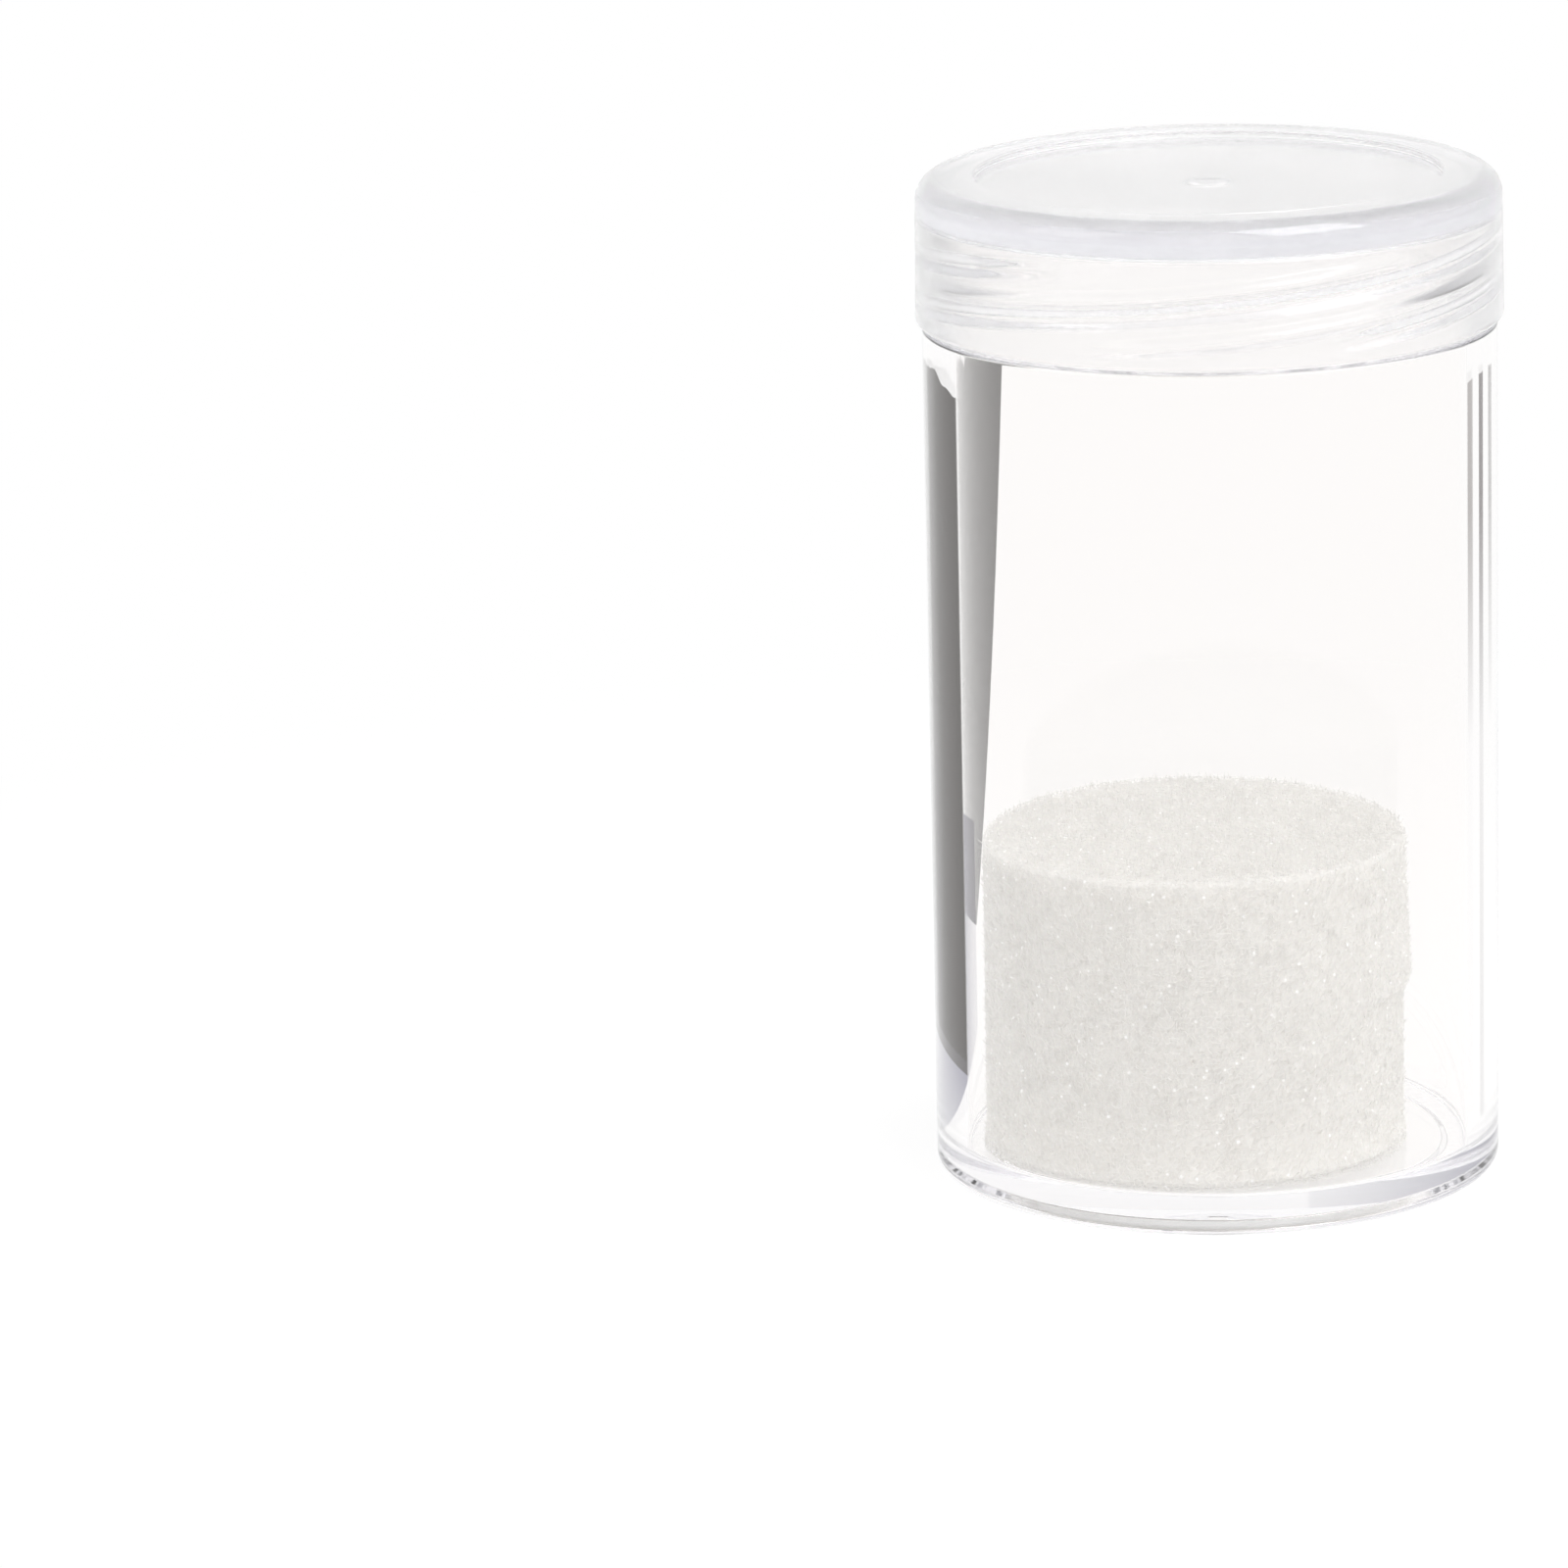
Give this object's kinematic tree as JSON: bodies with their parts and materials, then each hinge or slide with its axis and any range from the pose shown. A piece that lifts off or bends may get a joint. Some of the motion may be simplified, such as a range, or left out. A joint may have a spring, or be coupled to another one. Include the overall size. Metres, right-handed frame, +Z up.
{
  "type": "coin tube",
  "caption": "Clear round coin storage tube with a threaded neck, a screw lid with a sunk top panel, and a loose white foam plug inside.",
  "frame": {"origin": "centre of the foot ring on the surface that the tube stands on", "axes": "+Z up along the tube's axis, towards the lid; the picture's camera looks along +Y, with +X to the right"},
  "size_m": [0.046, 0.046, 0.08],
  "materials": {
    "clear_plastic": "gloss, crystal-clear polystyrene",
    "hazy_plastic": "gloss, clear plastic with a slight milky haze",
    "white_foam": "matte, coarse open-cell foam"
  },
  "bodies": {
    "tube": {"tube": "clear_plastic"},
    "lid_gate": {"lid_gate": "hazy_plastic"},
    "lid": {"lid": "hazy_plastic"},
    "foam_insert": {"foam_insert": "white_foam"}
  },
  "joints": [
    {"name": "lid_lift", "type": "slide", "parent": "tube", "child": "lid_gate", "axis": [0, 0, 1], "range_m": [0, 0.0115]},
    {"name": "lid_turn", "type": "hinge", "parent": "lid_gate", "child": "lid", "pos_m": [0, 0, 0.0686], "axis": [0, 0, 1], "range_deg": [0, 360]},
    {"name": "foam_slide", "type": "slide", "parent": "tube", "child": "foam_insert", "axis": [0, 0, 1], "range_m": [0, 0.0489]}
  ],
  "couplings": [
    {"joint": "lid_lift", "follows": "lid_turn", "m_per_rad": 0.0018144}
  ]
}
